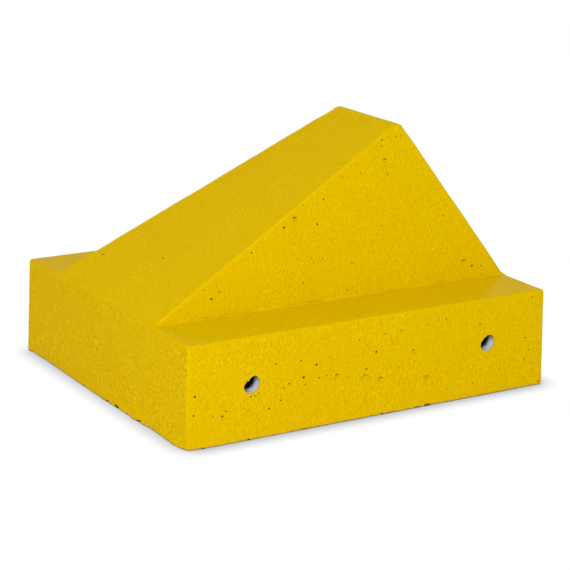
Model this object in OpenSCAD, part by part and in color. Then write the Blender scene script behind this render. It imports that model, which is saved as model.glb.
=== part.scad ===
// Lane divider block: a drafted concrete base that carries a lopsided wedge, cast round two rod sleeves
// and a small cage of bent bars.
// Millimetres. +X along the block, +Y to the back, +Z up. Origin on the ground under the middle of the foot.

/* [Base] */
// Length of the foot
foot_length = 480; // [440:1:600]
// Width of the foot
foot_width = 400; // [360:1:480]
// Height of the base, from the ground to the ledges
base_height = 116; // [105:1:140]
// How far every side of the base leans in on its way up, so that the block leaves its mould
draft = 3; // [1:0.5:6]
// Radius of the upright corners at the ground
corner_radius = 7; // [7:0.5:25]
// Radius of the top edges of the base
edge_radius = 3; // [1:0.5:8]

/* [Wedge] */
// Height of the block, from the ground to the top of the ridge
block_height = 298; // [250:1:340]
// Depth of the flat ledge in front of the wedge and of the one behind it
ledge_depth = 77; // [60:1:95]
// Length of the ridge, from front to back
ridge_length = 125; // [80:1:180]
// How far the ridge lies from the middle of the block, so that one slope is long and the other steep
ridge_offset = 118; // [0:1:140]
// Radius of the ridge
ridge_radius = 9; // [4:0.5:14]
// Radius of the sloping edges of the wedge
wedge_edge_radius = 4; // [1:0.5:6]
// Bevel at each end of the ridge
ridge_bevel = 3; // [1:0.5:6]
// Radius of the fillet where the wedge rises from the ledges
ledge_fillet = 4; // [2:0.5:8]

/* [Rod sleeves] */
// Bore of the sleeves, which a connecting or lifting rod passes through
sleeve_bore = 20; // [16:0.5:24]
// Wall of the sleeves
sleeve_wall = 2.5; // [1.5:0.1:3]
// Hair of space between a sleeve and the concrete that is cast round it
sleeve_gap = 0.2; // [0.1:0.05:0.5]
// Distance from the end of the foot to the axis of the nearest sleeve
sleeve_inset = 82; // [70:1:110]
// Height of the sleeves' axes above the ground
sleeve_height = 63; // [55:1:75]

/* [Reinforcement] */
// Diameter of the steel bars
bar_diameter = 8; // [6:0.5:10]
// Concrete left outside the outermost bars
concrete_cover = 30; // [25:1:40]
// Radius of the bend under the ridge, to the centre of the bar
ridge_bend_radius = 24; // [18:1:32]
// Distance between the two bars that rise into the ridge
ridge_bar_spacing = 80; // [60:1:100]
// How far the spacer bar runs past the bars that rise into the ridge
spacer_overhang = 8; // [2:1:15]
// Cement paste left between bars that cross
tie_gap = 0.5; // [0.3:0.1:1]
// Diameter of the tie wire
tie_wire_diameter = 1.4; // [0.8:0.1:2]
// Slack between a tie and the bars that it holds
tie_slack = 0.3; // [0.2:0.1:0.6]

/* [Hidden] */
$fn = 64;

// How far every cutter runs past what it cuts
overrun = 1;
// Flat that stays on a ledge inside the round of a corner, which limits the round of its edge
corner_flat = 0.5;
// How much a bar thins on its radius where it is bent, and how far its straight runs reach into the bends
bend_neck = 0.05;
bend_lap = 0.5;
paint_yellow = "#e0ba05";
conduit_grey = "#8b8e8f";
mill_steel = "#6d5a4c";
annealed_wire = "#4a4744";

// Base and wedge
top_length = foot_length - 2 * draft;
top_width = foot_width - 2 * draft;
ledge_round = min(edge_radius, corner_radius - draft - corner_flat);
wedge_half = top_width / 2 - ledge_depth;
wedge_rise = block_height - base_height;
wedge_lean = (wedge_half - ridge_length / 2) / wedge_rise;
left_shoulder = [-top_length / 2, base_height];
right_shoulder = [top_length / 2, base_height];
ridge_centre = [ridge_offset, block_height - ridge_radius];
left_touch = ridge_touch(left_shoulder, 1);
right_touch = ridge_touch(right_shoulder, -1);
left_normal = turned(unit(left_touch - left_shoulder));
right_normal = turned(unit(right_shoulder - right_touch));

// Sleeves
sleeve_diameter = sleeve_bore + 2 * sleeve_wall;
sleeve_hole = sleeve_diameter + 2 * sleeve_gap;
sleeve_x = foot_length / 2 - sleeve_inset;
sleeve_top = sleeve_height + sleeve_diameter / 2;
sleeve_length = foot_width - 2 * draft * sleeve_top / base_height;

// Bar levels: the sleeves lie on the long bars, and the long bars on the cross bars
crook_radius = sleeve_hole / 2 + tie_gap + bar_diameter / 2;
layer_step = bar_diameter + tie_gap;
long_bar_z = sleeve_height - crook_radius;
cross_bar_z = long_bar_z - layer_step;
long_bar_length = top_length - 2 * concrete_cover;
cross_bar_length = top_width - 2 * concrete_cover;
long_bar_y = (cross_bar_length - bar_diameter) / 2;
cross_bar_x = (long_bar_length - bar_diameter) / 2;
ridge_bar_y = ridge_bar_spacing / 2;

// Bars that rise into the ridge: bends round the left sleeve, under the ridge and round the right sleeve
bend_depth = concrete_cover + bar_diameter / 2 + ridge_bend_radius;
left_crook = [-sleeve_x, sleeve_height];
right_crook = [sleeve_x, sleeve_height];
ridge_bend = crossing(
    left_normal, left_normal * left_shoulder - bend_depth,
    right_normal, right_normal * right_shoulder - bend_depth
);
rise_heading = heading(left_crook, crook_radius, ridge_bend, -ridge_bend_radius);
fall_heading = heading(ridge_bend, -ridge_bend_radius, right_crook, crook_radius);
spacer_angle = (rise_heading + fall_heading) / 2 + 90;
spacer_seat = ridge_bend + (ridge_bend_radius - layer_step) * direction(spacer_angle);
spacer_length = ridge_bar_spacing + bar_diameter + 2 * spacer_overhang;
tie_radius = layer_step - tie_gap / 2 + tie_slack + tie_wire_diameter / 2;

function unit(v) = v / norm(v);
function turned(v) = [-v.y, v.x];
function direction(angle) = [cos(angle), sin(angle)];
// Part of v that is square to the unit vector w, as a unit vector
function square_to(v, w) = unit(v - (v * w) * w);
// Point where two lines cross, each given by its normal and its distance from the origin
function crossing(normal_a, distance_a, normal_b, distance_b) =
    let (area = normal_a.x * normal_b.y - normal_a.y * normal_b.x)
    [
        (distance_a * normal_b.y - distance_b * normal_a.y) / area,
        (normal_a.x * distance_b - normal_b.x * distance_a) / area
    ];
// Point where a slope touches the round of the ridge; side is 1 on the left and -1 on the right
function ridge_touch(shoulder, side) =
    let (
        reach = ridge_centre - shoulder,
        sink = ridge_radius / norm(reach),
        along = unit(reach)
    )
    ridge_centre + ridge_radius * (side * sqrt(1 - sink * sink) * turned(along) - sink * along);
// Heading of the straight run between two bends; a radius is positive where the bar bends to its left
function heading(centre_a, radius_a, centre_b, radius_b) =
    let (reach = centre_b - centre_a)
    atan2(reach.y, reach.x) - asin((radius_b - radius_a) / norm(reach));

// What a round takes off a corner at the origin, between two unit directions
module corner_bit(along_a, along_b, radius) {
    half_angle = acos(along_a * along_b) / 2;
    run = radius / tan(half_angle);
    bisector = unit(along_a + along_b);
    difference() {
        polygon([-bisector * overrun, along_a * run, along_b * run]);
        translate(bisector * radius / sin(half_angle)) circle(radius);
    }
}

// The same for a corner of an outline, between its two neighbours
module outline_corner(before, corner, after, radius) {
    translate(corner) corner_bit(unit(before - corner), unit(after - corner), radius);
}

// What a round takes off a straight edge in space, between two faces that run off along side_a and side_b
module edge_bit(start, finish, side_a, side_b, radius) {
    along = unit(finish - start);
    across = square_to(side_a, along);
    up = cross(along, across);
    other = square_to(side_b, along);
    multmatrix([
        [across.x, up.x, along.x, start.x],
        [across.y, up.y, along.y, start.y],
        [across.z, up.z, along.z, start.z],
        [0, 0, 0, 1]
    ])
        linear_extrude(norm(finish - start))
            corner_bit([1, 0], [other * across, other * up], radius);
}

// Section of the base between two opposite sides
module base_section(width) {
    foot = [width / 2, 0];
    shoulder = [width / 2 - draft, base_height];
    difference() {
        polygon([foot, shoulder, [-shoulder.x, shoulder.y], -foot]);
        for (side = [0, 1]) {
            mirror([side, 0]) outline_corner(foot, shoulder, [0, base_height], ledge_round);
        }
    }
}

// Section of one upright corner, to be turned about the middle of its round
module corner_section() {
    foot = [corner_radius, 0];
    shoulder = [corner_radius - draft, base_height];
    difference() {
        polygon([[0, 0], foot, shoulder, [0, base_height]]);
        outline_corner(foot, shoulder, [0, base_height], ledge_round);
    }
}

module base_body() {
    flat_length = foot_length - 2 * corner_radius;
    flat_width = foot_width - 2 * corner_radius;
    translate([0, flat_width / 2, 0])
        rotate([90, 0, 0])
            linear_extrude(flat_width) base_section(foot_length);
    translate([-flat_length / 2, 0, 0])
        rotate([90, 0, 90])
            linear_extrude(flat_length) base_section(foot_width);
    for (side_x = [0, 1], side_y = [0, 1]) {
        mirror([side_x, 0, 0])
            mirror([0, side_y, 0])
                translate([flat_length / 2, flat_width / 2, 0])
                    rotate_extrude(angle = 90) corner_section();
    }
}

// Outline of the block from the front: long slope on the left, steep one on the right, round ridge between
module front_outline() {
    left_foot = [-foot_length / 2, 0];
    right_foot = [foot_length / 2, 0];
    difference() {
        union() {
            polygon([left_foot, right_foot, right_shoulder, right_touch, left_touch, left_shoulder]);
            translate(ridge_centre) circle(ridge_radius);
        }
        outline_corner(left_foot, left_shoulder, left_touch, ledge_round);
        outline_corner(right_foot, right_shoulder, right_touch, ledge_round);
    }
}

// Outline of the wedge from the end, with the fillets on to the ledges and the bevelled ends of the ridge
module wedge_outline() {
    crest = block_height + overrun;
    root = [wedge_half, base_height];
    ledge = [wedge_half + ledge_fillet + overrun, base_height];
    bevel_foot = [wedge_half - wedge_lean * (wedge_rise - ridge_bevel), block_height - ridge_bevel];
    bevel_top = [bevel_foot.x - ridge_bevel - overrun, crest];
    polygon([
        [ledge.x, 0], ledge, root, bevel_foot, bevel_top,
        [-bevel_top.x, crest], [-bevel_foot.x, bevel_foot.y],
        [-root.x, root.y], [-ledge.x, ledge.y], [-ledge.x, 0]
    ]);
    for (side = [0, 1]) {
        mirror([side, 0]) outline_corner(ledge, root, bevel_foot, ledge_fillet);
    }
}

// What the round takes off one sloping edge of the front of the wedge
module sloping_edge_bit(shoulder, touch, inward) {
    fade_z = base_height + ledge_fillet / 2;
    reach = (block_height - fade_z) / (touch.y - shoulder.y);
    start_share = (fade_z - shoulder.y) / (touch.y - shoulder.y);
    slope = touch - shoulder;
    edge = [slope.x, wedge_lean * slope.y, slope.y];
    root = [shoulder.x, -wedge_half, shoulder.y];
    edge_bit(root + edge * start_share, root + edge * reach, [0, 1, 0], inward, wedge_edge_radius);
}

module wedge_body() {
    wedge_reach = wedge_half + ledge_fillet + 2 * overrun;
    difference() {
        intersection() {
            translate([0, wedge_reach, 0])
                rotate([90, 0, 0])
                    linear_extrude(2 * wedge_reach) front_outline();
            translate([-foot_length / 2 - overrun, 0, 0])
                rotate([90, 0, 90])
                    linear_extrude(foot_length + 2 * overrun) wedge_outline();
        }
        for (side = [0, 1]) {
            mirror([0, side, 0]) {
                sloping_edge_bit(left_shoulder, left_touch, [1, 0, 0]);
                sloping_edge_bit(right_shoulder, right_touch, [-1, 0, 0]);
            }
        }
    }
}

// Round bar between two points of the XZ plane, which laps into the bends at its ends
module straight_run(start, finish, lap_start, lap_finish) {
    reach = finish - start;
    along = unit(reach);
    origin = start - lap_start * along;
    translate([origin.x, 0, origin.y])
        rotate([0, atan2(reach.x, reach.y), 0])
            cylinder(d = bar_diameter, h = norm(reach) + lap_start + lap_finish);
}

// Bend of a bar in the XZ plane, from one angle about its centre to another, necked a little
module bend(centre, radius, from_angle, to_angle) {
    translate([centre.x, 0, centre.y])
        rotate([90, 0, 0])
            rotate([0, 0, from_angle])
                rotate_extrude(angle = to_angle - from_angle)
                    translate([radius, 0]) circle(d = bar_diameter - 2 * bend_neck);
}

module long_bar(y) {
    color(mill_steel)
        translate([0, y, 0])
            straight_run([-long_bar_length / 2, long_bar_z], [long_bar_length / 2, long_bar_z], 0, 0);
}

module cross_bar(x) {
    color(mill_steel)
        translate([x, cross_bar_length / 2, cross_bar_z])
            rotate([90, 0, 0]) cylinder(d = bar_diameter, h = cross_bar_length);
}

// One bar that runs along the mat, cradles both sleeves and rises between them to the ridge
module ridge_bar(y) {
    rise = direction(rise_heading - 90);
    fall = direction(fall_heading - 90);
    left_end = [-long_bar_length / 2, long_bar_z];
    right_end = [long_bar_length / 2, long_bar_z];
    color(mill_steel)
        translate([0, y, 0]) {
            straight_run(left_end, [left_crook.x, long_bar_z], 0, bend_lap);
            bend(left_crook, crook_radius, -90, rise_heading - 90);
            straight_run(
                left_crook + crook_radius * rise, ridge_bend - ridge_bend_radius * rise,
                bend_lap, bend_lap
            );
            bend(ridge_bend, ridge_bend_radius, fall_heading + 90, rise_heading + 90);
            straight_run(
                ridge_bend - ridge_bend_radius * fall, right_crook + crook_radius * fall,
                bend_lap, bend_lap
            );
            bend(right_crook, crook_radius, fall_heading - 90, -90);
            straight_run([right_crook.x, long_bar_z], right_end, bend_lap, 0);
        }
}

module ridge_spacer_bar() {
    color(mill_steel)
        translate([spacer_seat.x, spacer_length / 2, spacer_seat.y])
            rotate([90, 0, 0]) cylinder(d = bar_diameter, h = spacer_length);
}

// One loop of tie wire round two bars that cross, set diagonally; tilt turns it about Y
module tie_loop(place, tilt) {
    translate(place)
        rotate([0, tilt, 0])
            rotate([0, 0, 45])
                rotate([90, 0, 0])
                    rotate_extrude() translate([tie_radius, 0]) circle(d = tie_wire_diameter);
}

module tie_wires() {
    mat_z = (long_bar_z + cross_bar_z) / 2;
    ridge_tie = spacer_seat + layer_step / 2 * direction(spacer_angle);
    color(annealed_wire) {
        for (x = [-cross_bar_x, 0, cross_bar_x], y = [-long_bar_y, 0, long_bar_y]) {
            tie_loop([x, y, mat_z], 0);
        }
        for (y = [-ridge_bar_y, ridge_bar_y]) {
            for (x = [-cross_bar_x, cross_bar_x]) {
                tie_loop([x, y, mat_z], 0);
            }
            tie_loop([ridge_tie.x, y, ridge_tie.y], 90 - spacer_angle);
        }
    }
}

// Cylinder from front to back on the axis of a sleeve
module sleeve_cylinder(x, diameter, length) {
    translate([x, length / 2, sleeve_height])
        rotate([90, 0, 0]) cylinder(d = diameter, h = length);
}

module rod_sleeve(x) {
    color(conduit_grey)
        difference() {
            sleeve_cylinder(x, sleeve_diameter, sleeve_length);
            sleeve_cylinder(x, sleeve_bore, sleeve_length + 2 * overrun);
        }
}

module cast_in_steel() {
    for (y = [-long_bar_y, 0, long_bar_y]) {
        long_bar(y);
    }
    for (x = [-cross_bar_x, 0, cross_bar_x]) {
        cross_bar(x);
    }
    for (y = [-ridge_bar_y, ridge_bar_y]) {
        ridge_bar(y);
    }
    ridge_spacer_bar();
    tie_wires();
}

module concrete_block() {
    color(paint_yellow)
        difference() {
            union() {
                base_body();
                wedge_body();
            }
            for (x = [-sleeve_x, sleeve_x]) {
                sleeve_cylinder(x, sleeve_hole, foot_width + 2 * overrun);
            }
            cast_in_steel();
        }
}

concrete_block();
rod_sleeve(-sleeve_x);  // left_rod_sleeve
rod_sleeve(sleeve_x);  // right_rod_sleeve
long_bar(-long_bar_y);  // front_long_bar
long_bar(0);  // middle_long_bar
long_bar(long_bar_y);  // back_long_bar
cross_bar(-cross_bar_x);  // left_cross_bar
cross_bar(0);  // middle_cross_bar
cross_bar(cross_bar_x);  // right_cross_bar
ridge_bar(-ridge_bar_y);  // front_ridge_bar
ridge_bar(ridge_bar_y);  // back_ridge_bar
ridge_spacer_bar();
tie_wires();
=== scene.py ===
# %% [markdown]
# # A painted concrete lane divider block
# The object is one heavy casting: a low base with two flat ledges and a lopsided wedge on top. It was cast
# in a smooth mould, struck off level on the side that became its foot, and painted traffic yellow. Two
# conduits run through it from front to back for the rods that join or lift the blocks. The imported CAD model
# is loaded first, because every shape below starts from it.

# %% Load the imported model
import random
from functools import partial
from math import atan2, copysign, cos, radians, sin, sqrt, tau

import bmesh
import bpy
from mathutils import Matrix, Vector, noise
from mathutils.bvhtree import BVHTree


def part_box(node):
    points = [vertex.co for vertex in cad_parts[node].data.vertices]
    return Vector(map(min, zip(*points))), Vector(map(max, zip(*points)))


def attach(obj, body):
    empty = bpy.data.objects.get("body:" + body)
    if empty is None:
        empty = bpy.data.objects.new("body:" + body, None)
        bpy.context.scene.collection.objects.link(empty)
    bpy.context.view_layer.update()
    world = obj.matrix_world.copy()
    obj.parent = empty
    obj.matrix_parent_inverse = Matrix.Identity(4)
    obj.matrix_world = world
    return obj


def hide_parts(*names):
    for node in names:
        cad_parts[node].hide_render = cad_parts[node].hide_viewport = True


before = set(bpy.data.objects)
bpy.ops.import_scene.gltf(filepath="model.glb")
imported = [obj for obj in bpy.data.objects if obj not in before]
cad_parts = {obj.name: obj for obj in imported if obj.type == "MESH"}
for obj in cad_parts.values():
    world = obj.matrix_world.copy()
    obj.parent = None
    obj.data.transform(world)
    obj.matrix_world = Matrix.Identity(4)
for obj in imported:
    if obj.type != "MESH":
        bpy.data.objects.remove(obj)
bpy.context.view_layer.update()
MM = 0.001
print("nodes:", ", ".join(sorted(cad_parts)))

# %% [markdown]
# ## Colours and nodes
# Paint makers and picture editors give colours as sRGB codes, but a renderer adds up light, so it needs
# linear values. One function turns a code into those. A second one adds a shader node with its settings and
# its links in one line, which keeps each material below readable as a list of what it is made of.

# %% Helpers for materials
def linear(code):
    """Linear red, green, blue and alpha of an sRGB code such as #e0ba05."""
    parts = [int(code[i:i + 2], 16) / 255 for i in (1, 3, 5)]
    return [p / 12.92 if p <= 0.04045 else ((p + 0.055) / 1.055) ** 2.4 for p in parts] + [1]


def add_node(tree, kind, inputs=(), **settings):
    """Adds a shader node; an input is a value, a socket, or a node whose first output in use feeds it."""
    node = tree.nodes.new("ShaderNode" + kind)
    for name, value in settings.items():
        setattr(node, name, value)
    for name, value in dict(inputs).items():
        if isinstance(value, bpy.types.Node):
            value = next(socket for socket in value.outputs if socket.enabled)
        if isinstance(value, bpy.types.NodeSocket):
            tree.links.new(value, node.inputs[name])
        else:
            node.inputs[name].default_value = value
    return node


def start_material(name):
    """A new material with an empty node tree."""
    material = bpy.data.materials.new(name)
    material.use_nodes = True
    material.node_tree.nodes.clear()
    return material, material.node_tree

# %% [markdown]
# ## Traffic paint: its grain
# Traffic paint is a thick acrylic full of mineral filler. It is rolled on, so it dries with a fine stipple
# that is longer along the strokes of the roller, which went up and down, or from front to back on top. The
# noise is read at places that are squeezed across the strokes. The stipple also shades the colour: its
# hollows are painted a deeper, warmer yellow, which is painted shade, and its peaks a clearer one, which is
# painted light. This painted shading is stronger on the upright faces than on the upward ones, and
# strongest on the two ends.

# %% Grain of the paint
def paint_grain(tree, place):
    """Noises of the paint, how strongly the stipple paints shade and light into its colour, and how coarse
    its relief is.
    """
    normal = add_node(tree, "NewGeometry").outputs["True Normal"]
    facing = add_node(tree, "SeparateXYZ", {"Vector": normal}).outputs
    upward = facing["Z"]
    endward = add_node(tree, "Math", {0: facing["X"]}, operation="ABSOLUTE")
    along = add_node(
        tree, "MapRange", {"Value": upward, "From Min": 0.4, "From Max": 0.95, "To Min": 1.1, "To Max": 0.25}
    )
    stroke = add_node(tree, "CombineXYZ", {"X": 1.8, "Y": along, "Z": 0.55})
    rolled = add_node(tree, "VectorMath", {0: place, 1: stroke}, operation="MULTIPLY")
    stipple = add_node(
        tree, "TexNoise", {"Vector": rolled, "Scale": 1 / (2.0 * MM), "Detail": 2.0, "Roughness": 0.65}
    )
    lumps = add_node(tree, "TexNoise", {"Vector": rolled, "Scale": 1 / (6 * MM), "Detail": 1.0})
    waves = add_node(tree, "TexNoise", {"Vector": place, "Scale": 1 / (22 * MM), "Detail": 1.0})
    patches = add_node(tree, "TexNoise", {"Vector": place, "Scale": 1 / (60 * MM), "Detail": 3.0})
    # Painted shade and light: how strongly the stipple shades the colour, set by which way a face points.
    end_shading = add_node(tree, "MapRange", {"Value": endward, "From Min": 0.6, "From Max": 0.95, "To Max": 0.5})
    upright_shading = add_node(
        tree, "MapRange", {"Value": upward, "From Min": 0.1, "From Max": 0.8, "To Min": 1.05, "To Max": 0.75}
    )
    thick = add_node(
        tree, "MapRange", {"Value": patches, "From Min": 0.35, "From Max": 0.65, "To Min": 0.6, "To Max": 1.4}
    )
    stipple_shading = add_node(tree, "Math", {0: upright_shading, 1: end_shading}, operation="ADD")
    stipple_shading = add_node(tree, "Math", {0: stipple_shading, 1: thick}, operation="MULTIPLY")
    coarse = add_node(
        tree, "MapRange", {"Value": upward, "From Min": 0.4, "From Max": 0.8, "To Min": 1.0, "To Max": 0.8}
    )
    return {
        "stipple": stipple, "lumps": lumps, "waves": waves, "patches": patches,
        "stipple_shading": stipple_shading, "coarse": coarse,
    }

# %% [markdown]
# ## Traffic paint: pinpricks and crumbs
# The paint bridges the smallest air voids so thinly that they show as pinpricks: a dip in the relief and a
# dark ochre spot in the colour, which is painted shade. It also holds crumbs of filler that stand out and
# catch the light, and they are coloured a lighter yellow, which is a painted highlight. Both sit in the
# middle of Voronoi cells, and the random colour of a cell decides which of them it has, if any.

# %% Spots in the paint
def paint_spots(tree, place, patches):
    """Where the skin of paint is whole, and where crumbs stand out of it."""
    cells = add_node(tree, "TexVoronoi", {"Vector": place, "Scale": 1 / (6 * MM)}).outputs
    off_prick = add_node(
        tree, "MapRange", {"Value": cells["Distance"], "From Min": 0.05, "From Max": 0.11},
        interpolation_type="SMOOTHSTEP",
    )
    no_prick = add_node(tree, "Math", {0: cells["Color"], 1: 0.75}, operation="LESS_THAN")
    whole_skin = add_node(tree, "Math", {0: off_prick, 1: no_prick}, operation="MAXIMUM")
    near_crumb = add_node(
        tree, "MapRange",
        {"Value": cells["Distance"], "From Min": 0.1, "From Max": 0.24, "To Min": 1.0, "To Max": 0.0},
        interpolation_type="SMOOTHSTEP",
    )
    has_crumb = add_node(tree, "Math", {0: cells["Color"], 1: 0.4}, operation="LESS_THAN")
    crumb = add_node(tree, "Math", {0: near_crumb, 1: has_crumb}, operation="MULTIPLY")
    crumb = add_node(tree, "Math", {0: crumb, 1: patches}, operation="MULTIPLY")
    return whole_skin, crumb

# %% [markdown]
# ## Traffic paint: colour and relief
# The colour runs from a warm deep yellow in the hollows to a clear one on the peaks, which is painted shade
# and painted light. The rounds of the wedge are painted paler, a painted highlight along them that also
# stands for wear by tyres, and the finished mesh carries that as a value at each point. The relief is laid
# up in layers, from the slow waves of the mould over lumps and stipple to the spots.

# %% Colour and relief of the paint
def paint_colour(tree, grain, whole_skin, crumb):
    """Colour of the paint, with painted shade and light on its stipple, a painted highlight on the rounds,
    crumbs and pinpricks.
    """
    # Painted shade and light: the hollows of the stipple take a deeper yellow and its peaks a clearer one.
    hollow = add_node(tree, "Math", {0: grain["stipple"], 1: 0.5}, operation="SUBTRACT")
    faded = add_node(tree, "MapRange", {"Value": grain["patches"], "To Min": 0.46, "To Max": 0.54})
    shade_light_and_fade = add_node(tree, "Math", {0: hollow, 1: grain["stipple_shading"], 2: faded}, operation="MULTIPLY_ADD")
    # Painted highlight: points on the rounds of the wedge are painted paler, which also stands for wear by
    # tyres.
    rubbed_highlight = add_node(tree, "Attribute", attribute_name="rubbed_highlight").outputs["Fac"]
    rubbed_highlight = add_node(tree, "Math", {0: rubbed_highlight, 1: 3.0}, operation="POWER")
    shade_light_and_fade = add_node(tree, "Math", {0: rubbed_highlight, 1: 0.16, 2: shade_light_and_fade}, operation="MULTIPLY_ADD")
    tone = add_node(
        tree, "Mix", {"Factor": shade_light_and_fade, 6: linear("#ca9d00"), 7: linear("#ffda00")}, data_type="RGBA"
    )
    # Painted highlight: crumbs take a lighter yellow.
    tone = add_node(tree, "Mix", {"Factor": crumb, 6: tone, 7: linear("#ffe200")}, data_type="RGBA")
    # Painted shade: pinpricks take a dark ochre spot.
    return add_node(tree, "Mix", {"Factor": whole_skin, 6: linear("#8a6d06"), 7: tone}, data_type="RGBA")


def paint_relief(tree, grain, whole_skin, crumb):
    """Normals of the slow waves alone and of the whole relief."""
    coarse = grain["coarse"]
    waves = add_node(tree, "Bump", {"Strength": 0.5, "Distance": 0.5 * MM, "Height": grain["waves"]})
    relief = add_node(
        tree, "Bump", {"Strength": coarse, "Distance": 0.7 * MM, "Height": grain["lumps"], "Normal": waves}
    )
    relief = add_node(
        tree, "Bump", {"Strength": coarse, "Distance": 1.4 * MM, "Height": grain["stipple"], "Normal": relief}
    )
    spots = add_node(tree, "Math", {0: crumb, 1: 2.0, 2: whole_skin}, operation="MULTIPLY_ADD")
    relief = add_node(
        tree, "Bump", {"Strength": 0.6, "Distance": 0.4 * MM, "Height": spots, "Normal": relief}
    )
    return waves, relief

# %% [markdown]
# ## Traffic paint: the material
# The paint is chalky and hardly shines face-on. Only at a flat angle does it pick up the white of the room,
# from a thin skin of binder that is smoother than the stipple, so that skin is made as a coat with an index
# of refraction close to that of air.

# %% Traffic paint
def make_traffic_paint():
    material, tree = start_material("traffic paint on cast concrete")
    place = add_node(tree, "TexCoord").outputs["Object"]
    grain = paint_grain(tree, place)
    whole_skin, crumb = paint_spots(tree, place, grain["patches"])
    waves, relief = paint_relief(tree, grain, whole_skin, crumb)
    gloss = add_node(tree, "MapRange", {"Value": grain["lumps"], "To Min": 0.18, "To Max": 0.3})
    shader = add_node(tree, "BsdfPrincipled", {
        "Base Color": paint_colour(tree, grain, whole_skin, crumb), "Roughness": 0.6, "Normal": relief,
        "Specular IOR Level": 0.0, "Coat Weight": 1.0, "Coat IOR": 1.038, "Coat Roughness": gloss,
        "Coat Normal": waves,
    })
    add_node(tree, "OutputMaterial", {"Surface": shader})
    return material


traffic_paint = make_traffic_paint()
print("made", traffic_paint.name)

# %% [markdown]
# ## Bare concrete
# Where the casting is chipped, at the mouths of the holes and on the struck-off foot, the paint stops and
# cement paste with sand shows. Paste is a warm light grey and quite matt. Sand grains of about a millimetre
# give it dark and light specks and a gritty bump. The linings of the air voids are the same paste with thin
# paint run into it, coloured a dark ochre far below the paint, which is painted shade in the voids. Broken
# faces of chips are coloured dark brown and the lip of the foot a darker khaki, both as painted shade.

# %% Bare concrete
def make_bare_concrete(name, dark, light):
    material, tree = start_material(name)
    place = add_node(tree, "TexCoord").outputs["Object"]
    sand = add_node(
        tree, "TexNoise", {"Vector": place, "Scale": 1 / (1.4 * MM), "Detail": 3.0, "Roughness": 0.6}
    )
    damp = add_node(tree, "TexNoise", {"Vector": place, "Scale": 1 / (30 * MM), "Detail": 2.0})
    paste = add_node(tree, "Mix", {"Factor": damp, 6: linear(dark), 7: linear(light)}, data_type="RGBA")
    speck = add_node(
        tree, "MapRange", {"Value": sand, "From Min": 0.3, "From Max": 0.7, "To Min": 0.7, "To Max": 1.12}
    )
    colour = add_node(tree, "VectorMath", {0: paste, "Scale": speck}, operation="SCALE")
    grit = add_node(tree, "Bump", {"Strength": 0.6, "Distance": 0.4 * MM, "Height": sand})
    shader = add_node(
        tree, "BsdfPrincipled",
        {"Base Color": colour, "Roughness": 0.9, "Normal": grit, "Specular IOR Level": 0.2},
    )
    add_node(tree, "OutputMaterial", {"Surface": shader})
    return material


bare_concrete = make_bare_concrete("bare cast concrete", "#8f8b83", "#b4b1aa")
# Painted shade: the linings of the air voids are coloured far darker than the paint.
shaded_void_lining = make_bare_concrete("paint-stained lining of air voids", "#8a6a08", "#a8840e")
# Painted shade: broken faces of chips are coloured dark brown.
foot_lip_shade = make_bare_concrete("grimy bare concrete at the foot edge", "#9c8b58", "#b8a670")
# Painted shade: the lip of the foot is coloured darker, for the contact shade at the ground.
shaded_chip_face = make_bare_concrete("broken concrete of a chip, darkened as painted shade", "#4a3c1c", "#68552a")
print("made", bare_concrete.name, shaded_void_lining.name, foot_lip_shade.name, shaded_chip_face.name, sep=", ")

# %% [markdown]
# ## The casting, taken from the CAD skin
# The CAD block already has the right size, draft and rounds, so its outer skin is copied instead of being
# modelled again. The cavities that the bars fill lie inside and never show, and the two holes are closed
# for now, because the real ones have ragged mouths that are cut later. What is left is one closed skin of
# large flat faces and narrow rounds.

# %% Copy the outer skin
def connected_skins(mesh):
    """Groups the vertices of a bmesh by the closed skin that they belong to."""
    waiting = set(mesh.verts)
    skins = []
    while waiting:
        front = [waiting.pop()]
        skin = []
        while front:
            vert = front.pop()
            skin.append(vert)
            for edge in vert.link_edges:
                other = edge.other_vert(vert)
                if other in waiting:
                    waiting.remove(other)
                    front.append(other)
        skins.append(skin)
    return skins


def height_of(skin):
    heights = [vert.co.z for vert in skin]
    return max(heights) - min(heights)


casting = bmesh.new()
casting.from_mesh(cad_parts["concrete_block"].data)
same_point = 0.001 * MM
bmesh.ops.remove_doubles(casting, verts=casting.verts, dist=same_point)
skins = connected_skins(casting)
outer_skin = max(skins, key=height_of)
inner = [vert for skin in skins if skin is not outer_skin for vert in skin]
bmesh.ops.delete(casting, geom=inner, context="VERTS")
print(len(skins), "skins, of which the outer one has", len(casting.faces), "faces")

# %% Close the two holes and merge the flat faces
sleeve_nodes = ("left_rod_sleeve", "right_rod_sleeve")
sleeve_axes = [(low + high) / 2 for low, high in map(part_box, sleeve_nodes)]
sleeve_low, sleeve_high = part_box(sleeve_nodes[0])
sleeve_radius = (sleeve_high.z - sleeve_low.z) / 2
seat_play, bore_slack = 0.2 * MM, 0.05 * MM
hole_radius = sleeve_radius + seat_play
hole_reach = hole_radius + bore_slack


def off_axis(point, axis):
    """How far a point lies from the axis of a sleeve, which runs from front to back."""
    return sqrt((point.x - axis.x) ** 2 + (point.z - axis.z) ** 2)


bore_faces = [
    face for face in casting.faces
    if any(all(off_axis(vert.co, axis) < hole_reach for vert in face.verts) for axis in sleeve_axes)
]
bmesh.ops.delete(casting, geom=bore_faces, context="FACES")
rims = [edge for edge in casting.edges if edge.is_boundary]
bmesh.ops.holes_fill(casting, edges=rims, sides=0)
bmesh.ops.dissolve_limit(
    casting, angle_limit=radians(0.3), verts=casting.verts[:], edges=casting.edges[:],
    use_dissolve_boundaries=False,
)
bmesh.ops.recalc_face_normals(casting, faces=casting.faces[:])
casting.normal_update()
print("closed", len(bore_faces), "bore faces away; the plain skin has", len(casting.faces), "faces")

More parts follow.
